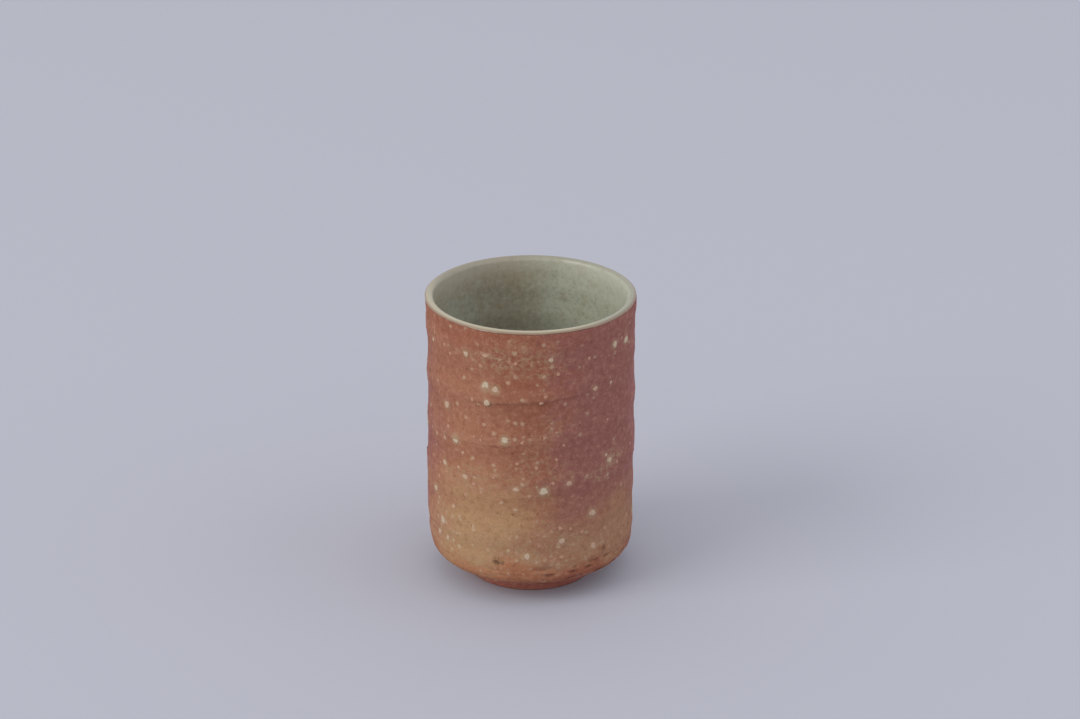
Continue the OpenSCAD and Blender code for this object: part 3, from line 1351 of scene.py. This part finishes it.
@dataclass
class FootRing:
    """The turned ring under the base."""

    flashing: Flashing
    outer_r: float = 22.4 * MM
    width: float = 4.0 * MM
    height: float = 3.1 * MM
    lean: float = 0.4 * MM
    bevel: float = 0.5 * MM
    joint: float = 0.05 * MM
    row: float = 0.45 * MM
    steps: int = 288
    # Grain, and chips along the resting edge
    grain_size: float = 1.4 * MM
    grain_depth: float = 0.06 * MM
    chip_size: float = 4 * MM
    chip_depth: float = 0.25 * MM
    chip_from: Point = (0.3, 0.6)
    chip_heights: Point = (1.6 * MM, 0.3 * MM)
    chip_widths: Point = (0.9 * MM, 0.2 * MM)
    # Finish, with the foot a little darker than the wall as painted shade under the cup
    darker: float = 0.03
    crease: float = 50.0

    def build(self, finish: ClayFinish) -> bpy.types.Object:
        """Make the piece.

        Args:
            finish: The clay's finish.

        Returns:
            The object.
        """
        rest = self.outer_r - self.lean
        hole = self.outer_r - self.width
        hole_rest = hole - self.lean
        corners = [(hole_rest + self.bevel, 0.0), (rest - self.bevel, 0.0), (rest, self.bevel),
                   (self.outer_r, self.height), (hole, self.height), (hole_rest, self.bevel)]
        section = refined(corners + corners[:1], self.row)[:-1]
        bm = revolved(section, self.steps, True)
        flash = bm.verts.layers.float_color.new("flash")
        for vert in bm.verts:
            place = vert.co.copy()
            vert[flash] = (*self.flashing.shown(place)[0], 1.0)
            if place.z > self.height - self.joint:
                continue
            reach = reach_of(place)
            side = 1.0 if reach > self.outer_r - self.width / 2 else -1.0
            grain = self.grain_depth * noise.noise(place / self.grain_size)
            chip = self.chip_depth * smoothstep(noise.noise(place / self.chip_size), *self.chip_from)
            chip *= smoothstep(place.z, *self.chip_heights)
            lift = chip * smoothstep(abs(reach - rest + self.bevel), *self.chip_widths)
            vert.co = place + away_from_axis(place) * side * min(0.0, grain - chip) + UP * lift
        piece = Piece("turned_foot", "foot_ring", Slot.FOOT)
        return piece.place(bm, finish.material("foot_clay", self.darker), self.crease)


@dataclass
class GlazeLining:
    """The coat inside the cup, pooled on its floor."""

    pot: ClayPot
    thickness: float = 0.35 * MM
    back_row: float = 6 * MM
    front_row: float = 1.1 * MM
    floor_steps: int = 13
    steps: int = 256
    front_share: float = 0.6
    # Throwing rings and drift, which fade at the floor and the lip
    ring_pitch: float = 11 * MM
    ring_depth: float = 0.1 * MM
    drift_size: float = 14 * MM
    drift_depth: float = 0.1 * MM
    set_back: float = 0.12 * MM
    fade_top: float = 5 * MM
    fade_low_z: float = 26 * MM
    shoulder_run: float = 14 * MM

    def build(self, finish: GlazeFinish) -> bpy.types.Object:
        """Make the piece.

        Args:
            finish: The glaze's finish.

        Returns:
            The object.
        """
        pot = self.pot
        centre = (pot.hollow_r, pot.hollow_z)
        top_r = pot.lip_r - pot.lip_round
        back = [(0.0, pot.dish_z)] + arc(centre, pot.hollow_round, -90, 0, self.floor_steps)
        back += [(top_r, pot.lip_z)]
        front = [(top_r - self.thickness, pot.lip_z)]
        front += arc(centre, pot.hollow_round - self.thickness, 0, -90, self.floor_steps)
        front += [(0.0, pot.hollow_z - pot.hollow_round + self.thickness)]
        bm = revolved(refined(back, self.back_row) + refined(front, self.front_row), self.steps, False)
        for vert in bm.verts:
            place = vert.co
            front_r = pot.hollow_wall(place.z) - self.thickness * self.front_share
            if place.z < pot.hollow_z or reach_of(place) > front_r:
                continue
            fade = smoothstep(pot.lip_z - place.z, 0.0, self.fade_top)
            fade *= smoothstep(place.z, pot.hollow_z, self.fade_low_z)
            turns = place.z / self.ring_pitch - bearing_of(place) / 360
            ring = self.ring_depth * math.cos(2 * math.pi * turns)
            drift = self.drift_depth * noise.noise(place / self.drift_size)
            full = pot.shoulder * smoothstep(place.z, pot.lip_z - self.shoulder_run, pot.lip_z)
            vert.co = place + away_from_axis(place) * (fade * (ring + drift - self.set_back) - full)
        piece = Piece("lining_glaze", "liner_glaze", Slot.LINER)
        return piece.place(bm, finish.material("lining_glaze"))


@dataclass
class GlazedLip:
    """The coat over the lip, which thins to an uneven edge on the outside."""

    pot: ClayPot
    thickness: float = 0.33 * MM
    end: float = 42.0
    outer_steps: int = 23
    tip_steps: int = 7
    inner_steps: int = 15
    steps: int = 384
    # Waves of the edge, in degrees round the lip's section
    wave_size: float = 9 * MM
    wave: float = 9.0
    ripple_rate: float = 3.1
    ripple: float = 5.0
    wave_span: float = 40.0
    # Tan stain along the edge, widened on the shaded side as painted shade
    stain: float = 0.85
    stain_full: float = 8.0
    stain_end: float = 34.0
    shade_span: float = 16.0
    shade_bearing: float = 130.0
    shade_reach: Point = (110.0, 60.0)
    # Where the crest and the inner shoulder show, in degrees round the section
    crest_angles: Point = (178.0, 112.0)
    shoulder_angles: Point = (100.0, 150.0)

    def build(self, finish: GlazeFinish) -> bpy.types.Object:
        """Make the piece.

        Args:
            finish: The glaze's finish.

        Returns:
            The object.
        """
        pot = self.pot
        centre = (pot.lip_r, pot.lip_z)
        middle = pot.lip_round + self.thickness / 2
        tip = arc(centre, middle, self.end, 0, 2)[0]
        section = arc(centre, pot.lip_round + self.thickness, 180, self.end, self.outer_steps)
        section += arc(tip, self.thickness / 2, self.end, self.end - 180, self.tip_steps)[1:-1]
        section += arc(centre, pot.lip_round, self.end, 180, self.inner_steps)
        bm = revolved(section, self.steps, True)
        edge = bm.verts.layers.float.new("edge")
        crest = bm.verts.layers.float.new("crest")
        for vert in bm.verts:
            place = vert.co
            out = reach_of(place) - pot.lip_r
            rise = place.z - pot.lip_z
            angle = math.degrees(math.atan2(rise, out))
            past = angle - self.end
            shaded = smoothstep(abs(turn_between(bearing_of(place), self.shade_bearing)), *self.shade_reach)
            # On the shaded side the tan edge reaches further up the lip as painted shade.
            stained = self.stain_end + self.shade_span * shaded
            vert[edge] = self.stain * smoothstep(past, stained, self.stain_full)
            vert[crest] = smoothstep(angle, *self.crest_angles)
            flat = Vector((place.x, place.y, 0.0)) / self.wave_size
            wave = noise.noise(flat) * self.wave + noise.noise(flat * self.ripple_rate) * self.ripple
            turn = math.radians(angle + wave * smoothstep(past, self.wave_span, 0.0))
            far = math.hypot(out, rise)
            if far > middle:
                far += pot.shoulder * smoothstep(angle, *self.shoulder_angles)
            level = away_from_axis(place) * (pot.lip_r + far * math.cos(turn))
            vert.co = level + UP * (pot.lip_z + far * math.sin(turn))
        piece = Piece("lip_glaze_bead", "lip_glaze", Slot.LIP)
        return piece.place(bm, finish.material("lip_glaze"))


@dataclass
class StoneSet:
    """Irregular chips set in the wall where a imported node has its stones."""

    name: str
    node: str
    slot: Slot
    wall: ThrownWall
    flashing: Flashing
    fineness: int
    proud: float
    seed: int
    bright_width: float
    stretch: float = 1.0
    spread: float = 1.0
    crease: float = 60.0
    # Shares of the stone's half width and of how proud it stands, and its twist
    wide: Point = (1.15, 1.55)
    tall: Point = (1.15, 1.65)
    rise: Point = (0.6, 1.1)
    twist: float = 0.7
    noise_span: float = 90.0
    # Flat broken faces
    cuts: int = 4
    cut_lean: float = 0.25
    cut_at: Point = (0.62, 0.92)
    cut_strength: float = 0.85
    # Tone, duller on narrow stones
    tone_spread: float = 0.4 * MM
    dull_width: float = 1.2 * MM
    # Lumps, as the rate and height of each noise, and the crown
    lumps: tuple[Point, ...] = ((1.4, 0.35), (3.1, 0.2))
    buried: float = 0.5
    crown: float = 0.8
    crown_rate: float = 2.3
    crown_change: float = 0.5

    def chip(self, bm: bmesh.types.BMesh, stone: Inclusion, draw: random.Random) -> None:
        """Add one chip.

        Args:
            bm: The shape that takes it.
            stone: Where it sits and how wide it is.
            draw: The source of its irregularity.
        """
        tone = bm.verts.layers.float["tone"]
        rim = bm.verts.layers.float["rim"]
        flash = bm.verts.layers.float_color["flash"]
        made = bmesh.ops.create_icosphere(bm, subdivisions=self.fineness, radius=1.0)["verts"]
        half = self.spread * stone.width / 2
        wide = half * draw.uniform(*self.wide) * self.stretch
        tall = half * draw.uniform(*self.tall) / self.stretch
        rise = self.proud * draw.uniform(*self.rise)
        twist = Matrix.Rotation(draw.uniform(-self.twist, self.twist), 3, "Z")
        shift = Vector([draw.uniform(0, self.noise_span) for _ in range(3)])
        turns = [draw.uniform(0, 2 * math.pi) for _ in range(self.cuts)]
        sides = [Vector((math.cos(a), math.sin(a), self.cut_lean)) for a in turns]
        faces = [(normal, draw.uniform(*self.cut_at)) for normal in sides]
        shown_width = stone.width + draw.uniform(-self.tone_spread, self.tone_spread)
        level = smoothstep(shown_width, self.bright_width, self.dull_width)
        seat = self.wall.point(stone.bearing, stone.height)
        clay = (*self.flashing.shown(seat)[0], 1.0)
        out = outward(stone.bearing)
        turn = Matrix((UP.cross(out), UP, out)).transposed()
        for vert in made:
            way = vert.co.normalized()
            lump = sum(height * noise.noise(way * rate + shift) for rate, height in self.lumps)
            shaped = way * (1 + lump)
            for normal, limit in faces:
                over = shaped.dot(normal) - limit
                if over > 0:
                    shaped -= normal * over * self.cut_strength
            local = twist @ Vector((shaped.x * wide, shaped.y * tall, 0.0))
            depth = rise if way.z > 0 else self.buried * half
            crown = self.crown + self.crown_change * noise.noise(way * self.crown_rate + shift)
            local.z = way.z * depth * crown
            place = seat + turn @ local
            vert.co = place - out * max(0.0, reach_of(place) - self.wall.stone_most)
            vert[tone] = level
            vert[rim] = 1 - max(0.0, way.z)
            vert[flash] = clay

    def build(self, finish: StoneFinish) -> bpy.types.Object:
        """Make the piece.

        Args:
            finish: The stones' finish.

        Returns:
            The object.
        """
        draw = random.Random(self.seed)
        bm = bmesh.new()
        bm.verts.layers.float.new("tone")
        bm.verts.layers.float.new("rim")
        bm.verts.layers.float_color.new("flash")
        for stone in inclusions(self.node):
            self.chip(bm, stone, draw)
        bmesh.ops.recalc_face_normals(bm, faces=bm.faces[:])
        piece = Piece(self.name, self.node, self.slot)
        return piece.place(bm, finish.material(self.name), self.crease)


@dataclass(frozen=True)
class Camera:
    """The photograph's viewpoint, as fitted to the cup's outline."""

    focal: float = 2600.0
    distance: float = 0.865
    elevation: float = 24.85
    target_z: float = 48 * MM
    target_x_px: float = 530.6
    target_y_px: float = 431.6
    sensor: float = 36.0

    def build(self) -> bpy.types.Object:
        """Make the camera and let the scene use it.

        Returns:
            The camera.
        """
        data = bpy.data.cameras.new("photo_camera")
        data.sensor_fit = "HORIZONTAL"
        data.sensor_width = self.sensor
        data.lens = self.sensor * self.focal / PHOTO_WIDTH
        made = linked("photo_camera", data)
        tilt = math.radians(self.elevation)
        back = Vector((0, -math.cos(tilt), math.sin(tilt)))
        right = Vector((1, 0, 0))
        aside = math.atan((self.target_x_px - PHOTO_WIDTH / 2) / self.focal)
        down = math.atan((self.target_y_px - PHOTO_HEIGHT / 2) / self.focal)
        ahead = -back
        above = right.cross(ahead)
        look = ahead * math.cos(aside) - right * math.sin(aside)
        look = look * math.cos(down) + above * math.sin(down)
        aim(made, UP * self.target_z + back * self.distance, look)
        bpy.context.scene.camera = made
        return made


@dataclass(frozen=True)
class Lamp:
    """A soft square lamp that faces the cup."""

    name: str
    bearing: float
    elevation: float
    distance: float
    size: float
    power: float
    colour: Colour
    target_z: float = 45 * MM

    def build(self) -> bpy.types.Object:
        """Make the lamp.

        Returns:
            The lamp.
        """
        data = bpy.data.lights.new(self.name, "AREA")
        data.shape = "SQUARE"
        data.size = self.size
        data.energy = self.power
        data.color = self.colour
        made = linked(self.name, data)
        tilt = math.radians(self.elevation)
        way = outward(self.bearing) * math.cos(tilt) + UP * math.sin(tilt)
        aim(made, UP * self.target_z + way * self.distance, -way)
        return made


@dataclass(frozen=True)
class Studio:
    """Pale floor and soft light."""

    floor: float = 6.0
    sky: Colour = (0.97, 0.98, 1.0)
    sky_strength: float = 0.78
    lamps: tuple[Lamp, ...] = (
        Lamp("window_lamp", -62.0, 33.0, 5.0, 2.9, 95.0, (1.0, 0.97, 0.93)),
        Lamp("fill_lamp", 78.0, 38.0, 2.4, 1.8, 6.0, (0.78, 0.87, 1.0)),
    )

    def build(self) -> None:
        """Make the floor, the sky and the lamps, and set how colours are shown."""
        bm = bmesh.new()
        bmesh.ops.create_grid(bm, x_segments=1, y_segments=1, size=self.floor / 2)
        made = formed("paper_floor", bm, TableFinish().material("paper"))
        world = bpy.data.worlds.new("studio")
        world.use_nodes = True
        sky = world.node_tree.nodes["Background"]
        sky.inputs["Color"].default_value = (*self.sky, 1.0)
        sky.inputs["Strength"].default_value = self.sky_strength
        bpy.context.scene.world = world
        for lamp in self.lamps:
            lamp.build()
        bpy.context.scene.view_settings.view_transform = "Standard"


FELDSPAR = StoneFinish(srgb(194, 176, 148), srgb(190, 150, 124), srgb(208, 196, 172), 0.55, 0.26)
GRIT = StoneFinish(srgb(192, 160, 132), srgb(184, 138, 114), srgb(200, 178, 152), 0.75, 0.2)
IRON = StoneFinish(srgb(114, 78, 48), srgb(124, 86, 54), srgb(94, 62, 38), 0.6, 0.3)


def main() -> None:
    """Build the camera, the studio and the cup's pieces in order, and report each piece."""
    logging.basicConfig(level=logging.INFO, format="%(name)s %(message)s")
    noise.seed_set(NOISE_SEED)
    Camera().build()
    Studio().build()
    wall = ThrownWall()
    flashing = Flashing()
    pot = ClayPot(wall, flashing)
    chips = StoneSet(
        "feldspar_chips", "feldspar_stones", Slot.STONE, wall, flashing,
        fineness=3, proud=0.2 * MM, seed=5, bright_width=2.6 * MM,
    )
    grains = StoneSet(
        "grit_grains", "feldspar_grit", Slot.GRIT, wall, flashing,
        fineness=2, proud=0.14 * MM, seed=6, bright_width=1.6 * MM,
    )
    spots = StoneSet(
        "iron_spots", "iron_specks", Slot.IRON, wall, flashing,
        fineness=3, proud=0.08 * MM, seed=7, bright_width=1.9 * MM, stretch=1.25, spread=0.76,
    )
    pieces = [
        pot.build(ClayFinish(), inclusions("feldspar_stones"), inclusions("iron_specks")),
        FootRing(flashing).build(ClayFinish()),
        GlazeLining(pot).build(GlazeFinish()),
        GlazedLip(pot).build(GlazeFinish()),
        chips.build(FELDSPAR),
        grains.build(GRIT),
        spots.build(IRON),
    ]
    for piece in pieces:
        LOG.info("%s: %d faces", piece.name, len(piece.data.polygons))


if __name__ == "__main__":
    main()
